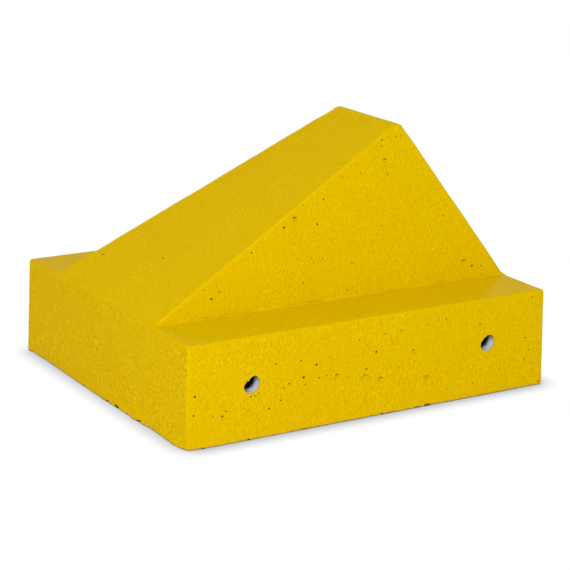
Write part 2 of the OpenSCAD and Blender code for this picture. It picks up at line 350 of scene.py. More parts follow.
# %% [markdown]
# ## A grid on the flat faces
# A real casting is never quite flat, so its faces need points that can move. Cutting the skin with evenly
# spaced planes gives neat squares on every side without touching its outline. Each plane only cuts the
# faces that it meets at a good angle, because a plane that grazes a face would leave slivers. The lowest
# few millimetres are cut finer, for the broken foot edge.

# %% Cut the skin into a grid
on_plane = 0.01 * MM


def slice_faces(mesh, faces, axis, spacing, start, stop):
    """Cuts the given faces by planes square to one axis."""
    normal = Vector((0, 0, 0))
    normal[axis] = 1
    geom = list(faces)
    geom += list({edge for face in faces for edge in face.edges})
    geom += list({vert for face in faces for vert in face.verts})
    for step in range(int((stop - start) / spacing)):
        place = normal * (start + (step + 0.5) * spacing)
        geom = bmesh.ops.bisect_plane(
            mesh, geom=geom, dist=on_plane, plane_co=place, plane_no=normal
        )["geom"]


grid, fine_grid = 8 * MM, 2.5 * MM
grazing, upright = 0.75, 0.5
foot_band, foot_lip = 7 * MM, 1.8 * MM
for level in (foot_lip, foot_band):
    bmesh.ops.bisect_plane(
        casting, geom=casting.verts[:] + casting.edges[:] + casting.faces[:], dist=on_plane,
        plane_co=(0, 0, level), plane_no=(0, 0, 1),
    )
low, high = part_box("concrete_block")
for axis in range(3):
    casting.normal_update()
    open_faces = [face for face in casting.faces if abs(face.normal[axis]) < grazing]
    slice_faces(casting, open_faces, axis, grid, low[axis], high[axis])
for axis in range(2):
    casting.normal_update()
    band = [
        face for face in casting.faces
        if abs(face.normal[axis]) < grazing and abs(face.normal.z) < upright
        and all(vert.co.z < foot_band + on_plane for vert in face.verts)
    ]
    slice_faces(casting, band, axis, fine_grid, low[axis], high[axis])
print("the gridded skin has", len(casting.verts), "points and", len(casting.faces), "faces")

# %% [markdown]
# ## Crisp corners and edges
# The CAD model has plain rounds on its upright corners and on the sloping edges of the wedge. On the real
# block the plates of the mould met there, which leaves tighter rounds that catch the light as bright lines.
# Each point of a round moves straight out from the round's axis, as far as a tighter round between the same
# two faces reaches in that direction. The upright corners narrow towards the top, so there the old radius
# is each point's own distance from the axis. The sloping edges fade back to the CAD model's round at both
# ends, where they run into other rounds.

# %% Tighten the upright corners
corner_round = 7 * MM
crisp_share = 0.4


def crisp_reach(off_middle, half_turn):
    """Reach of the tighter round, as a share of the old radius, at an angle from the middle of the turn."""
    inset = (1 - crisp_share) / cos(half_turn)
    arc_end = atan2(crisp_share * sin(half_turn), inset + crisp_share * cos(half_turn))
    if abs(off_middle) > arc_end:
        return 1 / cos(half_turn - abs(off_middle))
    return inset * cos(off_middle) + sqrt(crisp_share ** 2 - (inset * sin(off_middle)) ** 2)


half_square = radians(45)
for vert in casting.verts:
    out_x = abs(vert.co.x) - (high.x - corner_round)
    out_y = abs(vert.co.y) - (high.y - corner_round)
    if out_x > 0 and out_y > 0:
        grown = crisp_reach(atan2(out_y, out_x) - half_square, half_square) - 1
        vert.co.x += copysign(out_x * grown, vert.co.x)
        vert.co.y += copysign(out_y * grown, vert.co.y)
casting.normal_update()
ledge_strip = 20 * MM
ledge_height = max(vert.co.z for vert in casting.verts if vert.co.y < low.y + ledge_strip)
print("the ledges lie at", round(ledge_height / MM, 1), "mm")

# %% Tighten the sloping edges
wedge_round = 4 * MM
round_slack = 0.1
fade_start = 3 * MM
fade_length = 8 * MM
far_off = 1.0
plain_skin = BVHTree.FromBMesh(casting)


def tighten_edge(ray_a, ray_b):
    """Tightens the round between two flat faces, each found by a ray with its origin and direction."""
    spot_a, normal_a, _, _ = plain_skin.ray_cast(*map(Vector, ray_a))
    spot_b, normal_b, _, _ = plain_skin.ray_cast(*map(Vector, ray_b))
    half_turn = normal_a.angle(normal_b) / 2
    middle = (normal_a + normal_b).normalized()
    along = normal_a.cross(normal_b).normalized()
    depths = Vector((normal_a.dot(spot_a) - wedge_round, normal_b.dot(spot_b) - wedge_round, 0))
    axis = Matrix((normal_a, normal_b, along)).inverted() @ depths
    moved = 0
    for vert in casting.verts:
        out = vert.co - axis
        out -= along * out.dot(along)
        if abs(out.length / wedge_round - 1) < round_slack and out.angle(middle) < half_turn:
            from_foot = (vert.co.z - ledge_height - fade_start) / fade_length
            from_top = (high.z - fade_length - vert.co.z) / fade_length
            fade = max(0.0, min(1.0, from_foot, from_top))
            vert.co += out * (crisp_reach(out.angle(middle), half_turn) - 1) * fade
            moved += 1
    return moved


aim_height, aim_x = 200 * MM, -100 * MM
wedge_ends = [((0, -far_off, aim_height), (0, 1, 0)), ((0, far_off, aim_height), (0, -1, 0))]
wedge_slopes = [((aim_x, 0, far_off), (0, 0, -1)), ((far_off, 0, aim_height), (-1, 0, 0))]
print("points on sloping edges:", [tighten_edge(end, slope) for end in wedge_ends for slope in wedge_slopes])

# %% [markdown]
# ## Slow waves and worn rounds
# Mould plates flex under wet concrete, so each face gets waves of a quarter of a millimetre a few
# centimetres long. The rounds are rubbed and chipped a little unevenly on the mould and in handling, so
# their points also sink by up to half a millimetre. A vertex lies on a round when the faces beside it point
# different ways. Blender's own noise function gives the same values on each run. The pushes are added up in
# a list first, so that each one starts from the plain shape, and they are made all at once at the end.

# %% Waves and wear
def bend_at(vert):
    """Greatest angle between the faces round a vertex, in radians."""
    normals = [face.normal for face in vert.link_faces]
    return max((a.angle(b, 0.0) for i, a in enumerate(normals) for b in normals[:i]), default=0.0)


casting.normal_update()
wave_height, wave_length = 0.25 * MM, 55 * MM
round_wear, wear_length = 0.55 * MM, 14 * MM
pushes = []
for vert in casting.verts:
    push = wave_height * noise.noise(vert.co / wave_length)
    if radians(3) < bend_at(vert) < radians(60):
        push -= round_wear * max(0.0, noise.noise(vert.co / wear_length) + 0.15)
    pushes.append(vert.normal * push)
print("pushes for", len(pushes), "points")

# %% [markdown]
# ## A knocked corner and a leaning wedge
# The upright corner at the front on the left has been knocked at its top and worn at its foot, so the
# points near those two spots move in. The upper plates of the mould stood a little askew, so the wedge
# leans a few millimetres to the left, more the higher a point lies.

# %% Knock the corner and lean the wedge
worn_corners = [
    (Vector((low.x, low.y, 0)), 24 * MM, 4.5 * MM, Vector((1, 1, 0.3))),
    (Vector((low.x, low.y, ledge_height)), 15 * MM, 1.0 * MM, Vector((1, 1, -1))),
]
for corner, reach, depth, inward in worn_corners:
    for vert, push in zip(casting.verts, pushes):
        near = 1 - (vert.co - corner).length / reach
        if near > 0:
            push += inward.normalized() * depth * near ** 1.6
ridge_lean = 4 * MM
for vert, push in zip(casting.verts, pushes):
    push.x -= ridge_lean * max(0.0, vert.co.z - ledge_height) / (high.z - ledge_height)
print("the ridge leans by", round(ridge_lean / MM, 1), "mm")

# %% [markdown]
# ## The wavy foot edge on the left
# The foot edge of the left end isn't straight, because paste oozed out under the mould here and broke away
# there. A short list of places along it, from the back to the front, says how far it stands out. Both are
# in millimetres.

# %% Bow the left foot edge
foot_bow = [
    (200, 0.6), (188, -2.0), (145, -2.4), (100, -1.0), (50, 0.6), (-10, 1.7), (-70, 0.9), (-80, 2.8),
    (-95, 1.6), (-118, -0.7), (-150, 0.6), (-172, 2.4), (-192, 0.4), (-200, 0.0),
]
bow_height = 14 * MM


def bowed(y):
    """How far the left foot edge stands out at a place along it, between the nearest two of the list."""
    for (far, far_out), (near, near_out) in zip(foot_bow, foot_bow[1:]):
        if y >= near * MM:
            share = (y / MM - near) / (far - near)
            return (near_out + (far_out - near_out) * share) * MM
    return 0.0


for vert, push in zip(casting.verts, pushes):
    if vert.co.z < bow_height and vert.co.x < low.x + bow_height and vert.co.y > low.y + corner_round:
        push.x -= bowed(vert.co.y) * (1 - vert.co.z / bow_height) ** 2
print("the left foot edge is bowed at", len(foot_bow), "places")

# %% [markdown]
# ## The ragged foot
# The mould was open at the side that became the foot. There the paste crumbled, so the lowest points of the
# sides sink in by a millimetre or so and the edge itself is undercut. The underside was struck off with a
# board and keeps shallow hollows, but nothing on it may reach below the ground. Then all the pushes are
# made.

# %% Rag the foot and push the points
foot_rag, rag_coarse, rag_fine = 0.9 * MM, 5 * MM, 2.2 * MM
undercut, undercut_length = 1.1 * MM, 12 * MM
lip_lift, lip_length = 0.7 * MM, 8 * MM
hollow_depth, hollow_length = 0.35 * MM, 9 * MM
for vert, push in zip(casting.verts, pushes):
    if vert.co.z < foot_band * 0.6:
        outward = Vector((vert.normal.x, vert.normal.y, 0))
        push.z = 0
        if outward.length > 0.1:
            crumbled = noise.noise(vert.co / rag_coarse) + 0.5 * noise.noise(vert.co / rag_fine)
            sink = foot_rag * max(0.0, crumbled)
            if vert.co.z < on_plane:
                sink += undercut * (1 + noise.noise(vert.co / undercut_length))
            else:
                push.z = lip_lift * noise.noise(vert.co / lip_length)
            push -= outward.normalized() * sink
        else:
            push.z = max(0.0, hollow_depth * (noise.noise(vert.co / hollow_length) + 0.2))
    vert.co += push
casting.normal_update()
print("widest push in mm:", round(max(push.length for push in pushes) / MM, 2))

# %% [markdown]
# ## The block as an object
# The shaped skin becomes an object with three materials: paint, bare concrete under the foot, and a darker
# bare concrete on the lip of the foot, which is painted contact shade. A search tree of the skin is kept,
# because voids and chips are placed by rays that meet it.

# %% Make the block object
def object_from(mesh, name, *materials):
    """Turns a bmesh into an object with the given materials."""
    data = bpy.data.meshes.new(name)
    mesh.to_mesh(data)
    mesh.free()
    for material in materials:
        data.materials.append(material)
    made = bpy.data.objects.new(name, data)
    bpy.context.scene.collection.objects.link(made)
    return made


facing_down = -0.7
for face in casting.faces:
    face.smooth = True
    face.material_index = 1 if face.normal.z < facing_down else 0
    # Painted shade: the lip of the foot gets the darker material for the contact shade at the ground.
    if face.normal.z > facing_down and face.calc_center_median().z < foot_lip:
        face.material_index = 2
skin_tree = BVHTree.FromBMesh(casting)
block = object_from(casting, "painted_block", traffic_paint, bare_concrete, foot_lip_shade)
print("block has", len(block.data.polygons), "faces before carving")

# %% [markdown]
# ## Carving with Booleans
# Holes, chips and air voids are all places where concrete is missing. A Boolean modifier takes one volume
# out of another and keeps the cutter's material on the new faces, which is just what is needed: paint
# outside, bare concrete inside. The modifier is applied at once, so that the next cut starts from a plain
# mesh.

# %% A carving helper
def carve(body, cutter):
    """Takes the cutter's volume out of the body for good, and removes the cutter."""
    cut = body.modifiers.new("carve", "BOOLEAN")
    cut.operation = "DIFFERENCE"
    cut.solver = "MANIFOLD"
    cut.material_mode = "TRANSFER"
    cut.object = cutter
    graph = bpy.context.evaluated_depsgraph_get()
    carved = bpy.data.meshes.new_from_object(body.evaluated_get(graph))
    body.modifiers.clear()
    before = len(body.data.polygons)
    worn_out = [body.data, cutter.data]
    body.data = carved
    bpy.data.objects.remove(cutter)
    for mesh in worn_out:
        bpy.data.meshes.remove(mesh)
    print("carved", body.name, "from", before, "to", len(carved.polygons), "faces")

# %% [markdown]
# ## Round shapes from rings
# The holes, their mouths and the conduits are all round about a line from front to back. Each is built from
# rings of points, and the radius of a ring may change with the angle. Faces join each ring to the next, and
# a drum also gets a face at each end.

# %% Rings and drums
def add_ring(mesh, axis, y_at, radius_at, sides=96):
    """Adds a ring of points about a line along Y; both functions go from an angle to a length."""
    ring = []
    for k in range(sides):
        angle = tau * k / sides
        radius = radius_at(angle)
        ring.append(mesh.verts.new((axis.x + radius * cos(angle), y_at(angle), axis.z + radius * sin(angle))))
    return ring


def join_rings(mesh, rings):
    """Adds the faces between each ring and the next."""
    for near, far in zip(rings, rings[1:]):
        for k in range(len(near)):
            mesh.faces.new((near[k], near[k - 1], far[k - 1], far[k]))


def add_drum(mesh, axis, rings):
    """Adds a closed drum; each ring is its place along Y and a function from angle to radius."""
    loops = [add_ring(mesh, axis, lambda angle: y, radius_at) for y, radius_at in rings]
    join_rings(mesh, loops)
    mesh.faces.new(loops[0])
    mesh.faces.new(reversed(loops[-1]))
    bmesh.ops.recalc_face_normals(mesh, faces=mesh.faces[:])

# %% [markdown]
# ## Holes with ragged mouths
# The conduits stop a little short of the faces. Cement paste has crept over their ends and paint over that,
# so each mouth is a ragged ring. Its upper left side, where the paint ran down over it, hangs into the
# opening in a few round lobes. First the seats of the conduits are cut as plain drums, then the mouths as
# drums whose radius wanders round the ring.

# %% Cut the seats
conduit_setback = 1.4 * MM
seat_half = sleeve_high.y - conduit_setback
seats = bmesh.new()
for axis in sleeve_axes:
    add_drum(seats, axis, [(-seat_half, lambda angle: hole_radius), (seat_half, lambda angle: hole_radius)])
carve(block, object_from(seats, "seats", bare_concrete))

# %% Cut the mouths
conduit_wall = 2.5 * MM
bore_radius = sleeve_radius - conduit_wall
mouth_in, mouth_out, mouth_steps = seat_half - 1 * MM, high.y + 2 * MM, 8
mouth_shift = Vector((-1.8 * MM, 0, 0))
mouth_play, mouth_flare = 0.3 * MM, 0.4 * MM
run_angle = radians(128)
hang = (3.5 * MM, 2.0 * MM)
lobe_depth, lobe_count = 0.9 * MM, 9


def ragged(angle, share, number, side):
    """Radius of a mouth; share runs from 0 inside to 1 outside, number and side tell the mouths apart."""
    spot = Vector((cos(angle), sin(angle), 0.9 * share)) * 2.2 + Vector((7.3 * number, 3.1 * side, 0))
    upper_left = max(0.0, cos(angle - run_angle))
    lobes = lobe_depth * upper_left * abs(cos(lobe_count * (angle - run_angle) / 2 + number)) ** 0.5
    crumbs = (0.35 + 0.5 * upper_left) * MM * noise.noise(spot * 2.0)
    hung = hang[number] * upper_left ** 3
    return bore_radius + mouth_play - hung - lobes + crumbs + mouth_flare * share ** 3


mouths = bmesh.new()
for number, axis in enumerate(sleeve_axes):
    for side in (-1, 1):
        rings = []
        for step in range(mouth_steps + 1):
            share = step / mouth_steps
            y = side * (mouth_in + share * (mouth_out - mouth_in))
            rings.append((y, partial(ragged, share=share, number=number, side=side)))
        add_drum(mouths, axis + mouth_shift, rings)
carve(block, object_from(mouths, "mouths", traffic_paint))

# %% [markdown]
# ## Air voids and craters
# Bubbles that rested against the mould leave round voids, called bug holes. Small deep ones stay open and
# look like dark dots, larger shallow ones were filled with paint and show as craters. A bubble that creeps
# up the mould has a steep upper lip, so a crater's dish is tilted upwards: it is deep under that lip and
# runs out below. Each void is a little uneven ball that is sunk into the face, and a crater also gets a
# flat one for the open slit under its lip.

# %% A place on the skin
mouth_reach = 11.5 * MM
wall_between = 0.4 * MM
views = {
    "front": lambda a, b: (Vector((a, -far_off, b)), Vector((0, 1, 0))),
    "back": lambda a, b: (Vector((a, far_off, b)), Vector((0, -1, 0))),
    "left": lambda a, b: (Vector((-far_off, a, b)), Vector((1, 0, 0))),
    "right": lambda a, b: (Vector((far_off, a, b)), Vector((-1, 0, 0))),
    "above": lambda a, b: (Vector((a, b, far_off)), Vector((0, 0, -1))),
}
taken = [(Vector((axis.x, side * high.y, axis.z)), mouth_reach) for axis in sleeve_axes for side in (-1, 1)]


def skin_spot(view, a, b):
    """Point and normal of the skin, seen straight on from one side at two coordinates in metres."""
    origin, aim = views[view](a, b)
    point, normal, _, _ = skin_tree.ray_cast(origin, aim)
    return point, normal


def is_free(point, radius):
    """True if a void of this radius keeps clear of those that are there, and notes it down."""
    if any((point - other).length < radius + reach + wall_between for other, reach in taken):
        return False
    taken.append((point, radius))
    return True


# %% Cutters for voids
def frame_on(place, outward):
    """A matrix that stands Z along outward, with its origin at place."""
    return Matrix.Translation(place) @ outward.to_track_quat("Z", "Y").to_matrix().to_4x4()


def add_blob(mesh, place, outward, size, depth, sunk, rough, detail=3):
    """Adds an uneven ball of a size and depth; sunk says how far its middle lies below the skin."""
    stand = frame_on(place, outward)
    own_shape = place / (3 * MM)
    for vert in bmesh.ops.create_icosphere(mesh, subdivisions=detail, radius=1)["verts"]:
        lump = 1 + rough * noise.noise(vert.co * 1.3 + own_shape)
        local = Vector((vert.co.x * size[0], vert.co.y * size[1], vert.co.z * depth)) * lump
        local.z -= sunk * depth
        vert.co = stand @ local


pinholes, craters = bmesh.new(), bmesh.new()
fine_from = 2 * MM


def add_pinhole(view, a, b, opening):
    """Sinks a deep narrow void, if there is room for it."""
    point, normal = skin_spot(view, a, b)
    if point is None or not is_free(point, 0.6 * opening):
        return False
    radius = 0.65 * opening
    detail = 3 if opening > fine_from else 2
    add_blob(pinholes, point, normal, (radius, radius), 2.2 * radius, sunk=0.55, rough=0.5, detail=detail)
    return True


def add_crater(view, a, b, opening):
    """Sinks a shallow dish with an open slit under its upper lip, if there is room for it."""
    point, normal = skin_spot(view, a, b)
    if point is None or not is_free(point, 0.75 * opening):
        return False
    creep = Vector((-0.35, 0, 0.9))
    lean = (normal + 0.5 * (creep - normal * creep.dot(normal))).normalized()
    add_blob(craters, point, lean, (0.62 * opening, 0.5 * opening), 0.42 * opening, sunk=0.05, rough=0.7)
    lip = point + frame_on(point, normal).to_3x3() @ Vector((-0.08 * opening, 0.36 * opening, 0))
    add_blob(pinholes, lip, normal, (0.46 * opening, 0.17 * opening), 0.5 * opening, sunk=0.4, rough=0.6)
    return True

# %% [markdown]
# ## Where the voids are
# The voids that show most are listed one by one. Each entry gives two coordinates on the face, seen straight
# on from its side, and the opening, all in millimetres.

# %% Voids that are listed one by one
pinholes_seen = {
    "front": [
        (-78, 72, 2.6), (-94, 60, 2.6), (-196, 33, 2.2), (1, 75, 2.2), (85, 100, 1.7), (-12, 57, 1.8),
        (-192, 38, 1.5), (211, 36, 1.8), (212, 61, 1.8), (138, 39, 1.7), (-123, 39, 1.7), (34, 95, 2.0),
        (-138, 32, 1.9), (-120, 52, 1.7), (218, 46, 1.7), (-92, 52, 1.5), (-113, 56, 2.0), (12, 94, 1.6),
        (-130, 81, 1.7), (220, 109, 1.5), (126, 90, 1.6), (-98, 80, 1.6), (-22, 92, 1.7), (70, 97, 1.5),
        (-200, 90, 1.4), (96, 100, 1.5), (-208, 34, 1.6), (-229, 60, 2.6), (-231, 39.5, 2.2),
        (-161, 49, 2.0), (-156, 49.5, 1.7), (-151, 51, 1.5), (234, 4.5, 2.4),
        (-162, 136, 2.6), (-14, 199, 2.5), (-58, 200, 2.1), (-104, 178, 1.8), (-1, 225, 2.0), (-28, 164, 1.5),
        (28, 246, 1.5), (117, 284.5, 1.4), (109, 284.5, 1.5), (99.5, 285, 1.4), (89, 282, 1.8),
        (161, 191, 1.6), (88, 253, 1.3), (-170, 146, 1.4), (72, 188, 1.2),
    ],
    "left": [
        (-115, 45, 1.8), (-119, 52, 1.2), (-124, 33, 1.3), (154, 92, 1.3), (146, 24, 1.4), (-187, 40, 1.8),
        (-190, 60, 1.3),
    ],
    "above": [(-162, -2, 2.4), (-219, -50, 1.3), (-190, 92, 3.0)],
}
craters_seen = {
    "front": [
        (-14, 48, 6.5), (-50, 54, 6.5), (8, 42, 6), (52, 68, 5), (90, 259, 5), (-42, 207, 6), (182, 135.5, 6),
        (193, 128.5, 5),
    ],
}
placed = 0
for sink_void, faces in ((add_crater, craters_seen), (add_pinhole, pinholes_seen)):
    for view, spots in faces.items():
        placed += sum(sink_void(view, a * MM, b * MM, opening * MM) for a, b, opening in spots)
print("placed by eye:", placed)

# %% [markdown]
# ## Scattered voids
# The rest are scattered by a seeded generator, more of them on the upright faces, where bubbles cling. For
# each side there is a number of pinholes and one of craters, and most come out near the smallest opening.

# %% Scatter the rest and carve
dice = random.Random(41)
scatter = {"front": (105, 10), "back": (150, 18), "left": (16, 3), "right": (40, 6), "above": (12, 3)}
void_floor, left_top = 8 * MM, 110 * MM
spans = {
    "front": (low.x, high.x, void_floor, high.z), "back": (low.x, high.x, void_floor, high.z),
    "left": (low.y, high.y, void_floor, left_top), "right": (low.y, high.y, void_floor, high.z),
    "above": (low.x, high.x, low.y, high.y),
}
scattered = 0
for view, (holes, dishes) in scatter.items():
    a0, a1, b0, b1 = spans[view]
    for number in range(holes + dishes):
        a, b = dice.uniform(a0, a1), dice.uniform(b0, b1)
        grown = dice.random() ** 3
        if number < holes:
            scattered += add_pinhole(view, a, b, (0.7 + 1.0 * grown) * MM)
        else:
            scattered += add_crater(view, a, b, (2.8 + 2.6 * grown) * MM)
print("scattered:", scattered)
carve(block, object_from(craters, "craters", traffic_paint))
carve(block, object_from(pinholes, "pinholes", shaded_void_lining))

# %% [markdown]
# ## Chips along the foot
# The foot edge is the one that touches the ground when a block is set down, so it is chipped all the way
# round. Each chip is an uneven ball that bites the edge from outside and below, and its broken concrete is
# coloured dark brown, which is painted shade. The ones that show most are listed by their place along the
# side, length and height in millimetres, and the rest are scattered.

# %% Chip the foot edge
chips = bmesh.new()
chip_places = []
probe_height = 1.5 * MM


def add_chip(view, a, length, height):
    """Bites a piece out of the foot edge at one place along a side, if no other chip is in the way."""
    point, normal = skin_spot(view, a, probe_height)
    reach = length * 0.7
    if point is None or any((point - other).length < reach + taken_up for other, taken_up in chip_places):
        return False
    chip_places.append((point, reach))
    outward = Vector((normal.x, normal.y, -0.9)).normalized()
    foot = Vector((point.x, point.y, 0)) + Vector((normal.x, normal.y, 0)) * 0.35 * height
    along_x = frame_on(foot, outward).to_3x3() @ Vector((1, 0, 0))
    lies_along = abs(along_x.dot(Vector((-normal.y, normal.x, 0)))) > 0.7
    size = (length / 2, height) if lies_along else (height, length / 2)
    add_blob(chips, foot, outward, size, height * 0.9, sunk=0.0, rough=0.9)
    return True


chips_seen = {
    "front": [(70, 22, 2.7), (-11, 6, 2.2), (150, 8, 2.0), (-150, 6, 1.6), (20, 6, 1.6), (200, 7, 2)],
    "left": [(-20, 12, 3), (-45, 18, 3.6), (-68, 10, 2.6), (-95, 12, 3), (60, 8, 2.2), (130, 7, 2)],
}
tries_per_side = 26
chipped = 0
for view, spots in chips_seen.items():
    chipped += sum(add_chip(view, a * MM, length * MM, height * MM) for a, length, height in spots)
for view in ("front", "back", "left", "right"):
    a0, a1 = spans[view][:2]
    for _ in range(tries_per_side):
        size = 2 + 7 * dice.random() ** 2
        chipped += add_chip(view, dice.uniform(a0, a1) * 0.97, size * MM, (0.8 + 0.16 * size) * MM)
# The chips' faces get the dark brown painted shade.
carve(block, object_from(chips, "chips", shaded_chip_face))
print("chips:", chipped)

# %% [markdown]
# ## Shading of the block
# Carving leaves a few slivers, loose edges and pinched holes, which are cleaned away. Faces are shaded
# smooth, except where two of them meet at a steep angle. The points on the rounds of the wedge are marked,
# for the paint to take its painted highlight there.

# %% Finish the block
def finish_shading(made, crease):
    """Smooth faces, with a hard edge wherever two faces meet at more than the crease angle."""
    mesh = bmesh.new()
    mesh.from_mesh(made.data)
    bmesh.ops.dissolve_degenerate(mesh, edges=mesh.edges[:], dist=0.0005 * MM)
    bmesh.ops.delete(mesh, geom=[edge for edge in mesh.edges if edge.is_wire], context="EDGES")
    bmesh.ops.holes_fill(mesh, edges=[edge for edge in mesh.edges if edge.is_boundary], sides=0)
    for face in mesh.faces:
        face.smooth = True
    for edge in mesh.edges:
        edge.smooth = len(edge.link_faces) == 2 and edge.calc_face_angle(0.0) < crease
    open_edges = sum(not edge.is_manifold for edge in mesh.edges)
    mesh.to_mesh(made.data)
    mesh.free()
    weighted = made.modifiers.new("even shading", "WEIGHTED_NORMAL")
    weighted.keep_sharp = True
    print(made.name, "has", len(made.data.polygons), "faces and", open_edges, "open edges")


def mark_rubbed_highlight(made, lowest, crease):
    """Gives points above a height the value 1 if they lie on a round, and 0 if not, for the paint to read."""
    mesh = bmesh.new()
    mesh.from_mesh(made.data)
    value = mesh.verts.layers.float.new("rubbed_highlight")
    for vert in mesh.verts:
        bends = [edge.calc_face_angle_signed(0.0) for edge in vert.link_edges if edge.is_manifold]
        on_round = vert.co.z > lowest and radians(3) < max(bends, default=0.0) < crease
        vert[value] = 1.0 if on_round else 0.0
    print("rubbed points:", sum(vert[value] > 0 for vert in mesh.verts))
    mesh.to_mesh(made.data)
    mesh.free()


block_crease = radians(38)
rubbed_highlight_from = ledge_height + 2 * MM
mark_rubbed_highlight(block, rubbed_highlight_from, block_crease)
finish_shading(block, block_crease)
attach(block, "root")
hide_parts("concrete_block")

# %% [markdown]
# ## Conduit plastic
# The sleeves are lengths of electrical conduit, which is extruded PVC: smooth, a little glossy, with faint
# lines along its length. The plastic is coloured near black, which paints the shade deep in the holes. A pale
# patch is painted within the last centimetre or so of each end, on the lower right side of its conduit's
# axis, where the light from the upper left falls through the mouth: a painted pool of light.

# %% Conduit plastic
lit_patch_length, lit_patch_fade, lit_patch_waver = 17 * MM, 8 * MM, 3 * MM


def lower_right_of_axis(tree, spot):
    """How far a point lies to the lower right of the axis of its own conduit."""
    end = add_node(tree, "Math", {0: spot["X"]}, operation="SIGN")
    axis_x = add_node(tree, "Math", {0: end, 1: sleeve_axes[1].x}, operation="MULTIPLY")
    rightward = add_node(tree, "Math", {0: spot["X"], 1: axis_x}, operation="SUBTRACT")
    downward = add_node(tree, "Math", {0: sleeve_axes[1].z, 1: spot["Z"]}, operation="SUBTRACT")
    return add_node(tree, "Math", {0: rightward, 1: downward}, operation="ADD")


def make_conduit_plastic():
    material, tree = start_material("extruded grey PVC conduit")
    place = add_node(tree, "TexCoord").outputs["Object"]
    drawn = add_node(tree, "VectorMath", {0: place, 1: (1, 0.02, 1)}, operation="MULTIPLY")
    lines = add_node(tree, "TexNoise", {"Vector": drawn, "Scale": 1 / (0.8 * MM), "Detail": 2.0})
    dust = add_node(tree, "TexNoise", {"Vector": place, "Scale": 1 / (4 * MM), "Detail": 4.0})
    spot = add_node(tree, "SeparateXYZ", {"Vector": place}).outputs
    lower_right = lower_right_of_axis(tree, spot)
    # Painted light: a pale patch on the lower right side of each conduit near its ends, where light falls in.
    lit_half = add_node(
        tree, "MapRange",
        {"Value": lower_right, "From Min": -0.3 * bore_radius, "From Max": 1.25 * bore_radius},
        interpolation_type="SMOOTHSTEP",
    )
    from_middle = add_node(tree, "Math", {0: spot["Y"]}, operation="ABSOLUTE")
    lit_patch_edge = add_node(
        tree, "Math", {0: dust, 1: lit_patch_waver, 2: seat_half - lit_patch_length}, operation="MULTIPLY_ADD"
    )
    lit_patch_depth = add_node(tree, "Math", {0: from_middle, 1: lit_patch_edge}, operation="SUBTRACT")
    near_end = add_node(
        tree, "MapRange", {"Value": lit_patch_depth, "From Max": lit_patch_fade}, interpolation_type="SMOOTHSTEP"
    )
    lit_patch = add_node(tree, "Math", {0: near_end, 1: lit_half}, operation="MULTIPLY")
    # Painted shade: the plastic is near black, so the deep bore looks shaded.
    plastic_painted_dark = add_node(
        tree, "Mix", {"Factor": dust, 6: linear("#1c1b1d"), 7: linear("#2b2a2c")}, data_type="RGBA"
    )
    colour = add_node(tree, "Mix", {"Factor": lit_patch, 6: plastic_painted_dark, 7: linear("#eef0fa")}, data_type="RGBA")
    drawn_bump = add_node(tree, "Bump", {"Strength": 0.3, "Distance": 0.1 * MM, "Height": lines})
    shader = add_node(tree, "BsdfPrincipled", {
        "Base Color": colour, "Roughness": 0.45, "Normal": drawn_bump, "IOR": 1.53, "Specular IOR Level": 0.3,
    })
    add_node(tree, "OutputMaterial", {"Surface": shader})
    return material


conduit_plastic = make_conduit_plastic()
print("made", conduit_plastic.name)

# %% [markdown]
# ## Conduits
# The conduits were sawn by hand, so their ends are slightly out of square. Each one is turned as a profile
# about its axis, with the burrs of its ends rubbed off and the saw's wobble added to all its rings.

# %% Turn the conduits
end_play, burr, saw_wobble = 0.2 * MM, 0.3 * MM, 0.35 * MM


def make_conduit(name, node, axis):
    """A hand-sawn length of conduit that stands for a sleeve of the CAD model."""
    half = seat_half - end_play
    profile = [
        (-half + burr, sleeve_radius), (half - burr, sleeve_radius), (half, sleeve_radius - burr),
        (half, bore_radius + burr), (half - burr, bore_radius), (-half + burr, bore_radius),
        (-half, bore_radius + burr), (-half, sleeve_radius - burr),
    ]

    def sawn(y, angle):
        """Place along the axis of a point whose ring lies at y, with the saw's wobble."""
        wobble = noise.noise(Vector((cos(angle), sin(angle), axis.x * 9))) - 0.5
        return y + copysign(saw_wobble, y) * wobble

    mesh = bmesh.new()
    rings = [add_ring(mesh, axis, partial(sawn, y), lambda angle: radius) for y, radius in profile]
    join_rings(mesh, rings + rings[:1])
    bmesh.ops.recalc_face_normals(mesh, faces=mesh.faces[:])
    made = object_from(mesh, name, conduit_plastic)
    finish_shading(made, radians(30))
    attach(made, "root")
    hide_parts(node)


for name, node, axis in zip(("left_conduit", "right_conduit"), sleeve_nodes, sleeve_axes):
    make_conduit(name, node, axis)

# %% [markdown]
# ## Bars and tie wire
# The cage is buried, but it is part of the object, so it gets its true finishes. Reinforcing bar comes hot
# from the mill with blue-grey scale that rusts in the yard, and annealed tie wire is soft, dark and oily.
# Both are metals: the scale and the rust are mixed by noise at the size of the real blotches.

